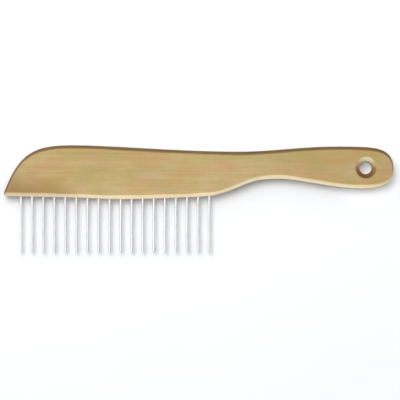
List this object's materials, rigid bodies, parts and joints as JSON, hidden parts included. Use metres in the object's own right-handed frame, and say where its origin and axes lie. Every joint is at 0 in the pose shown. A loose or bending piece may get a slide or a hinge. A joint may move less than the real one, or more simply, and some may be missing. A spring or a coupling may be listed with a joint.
{
  "type": "mane comb",
  "caption": "Flat lacquered wooden grooming comb with one row of straight steel pins along the blade and a hanging hole in the butt of the handle.",
  "frame": {"origin": "middle of the comb's box in X and Y, on the surface it lies on when it rests on its flat back face", "axes": "+X along the handle from the nose to the butt with the hanging hole, +Y from the pin tips to the back of the blade, +Z out of the upper flat face"},
  "size_m": [0.225, 0.062, 0.012],
  "materials": {
    "lacquered_wood": "pale beech under a satin clear lacquer, fine grain along the handle",
    "pin_steel": "polished nickel-plated steel wire with rounded tips"
  },
  "bodies": {
    "root": {"handle": "lacquered_wood", "pin_01": "pin_steel", "pin_02": "pin_steel", "pin_03": "pin_steel", "pin_04": "pin_steel", "pin_05": "pin_steel", "pin_06": "pin_steel", "pin_07": "pin_steel", "pin_08": "pin_steel", "pin_09": "pin_steel", "pin_10": "pin_steel", "pin_11": "pin_steel", "pin_12": "pin_steel", "pin_13": "pin_steel", "pin_14": "pin_steel", "pin_15": "pin_steel", "pin_16": "pin_steel", "pin_17": "pin_steel", "pin_18": "pin_steel"}
  },
  "joints": []
}
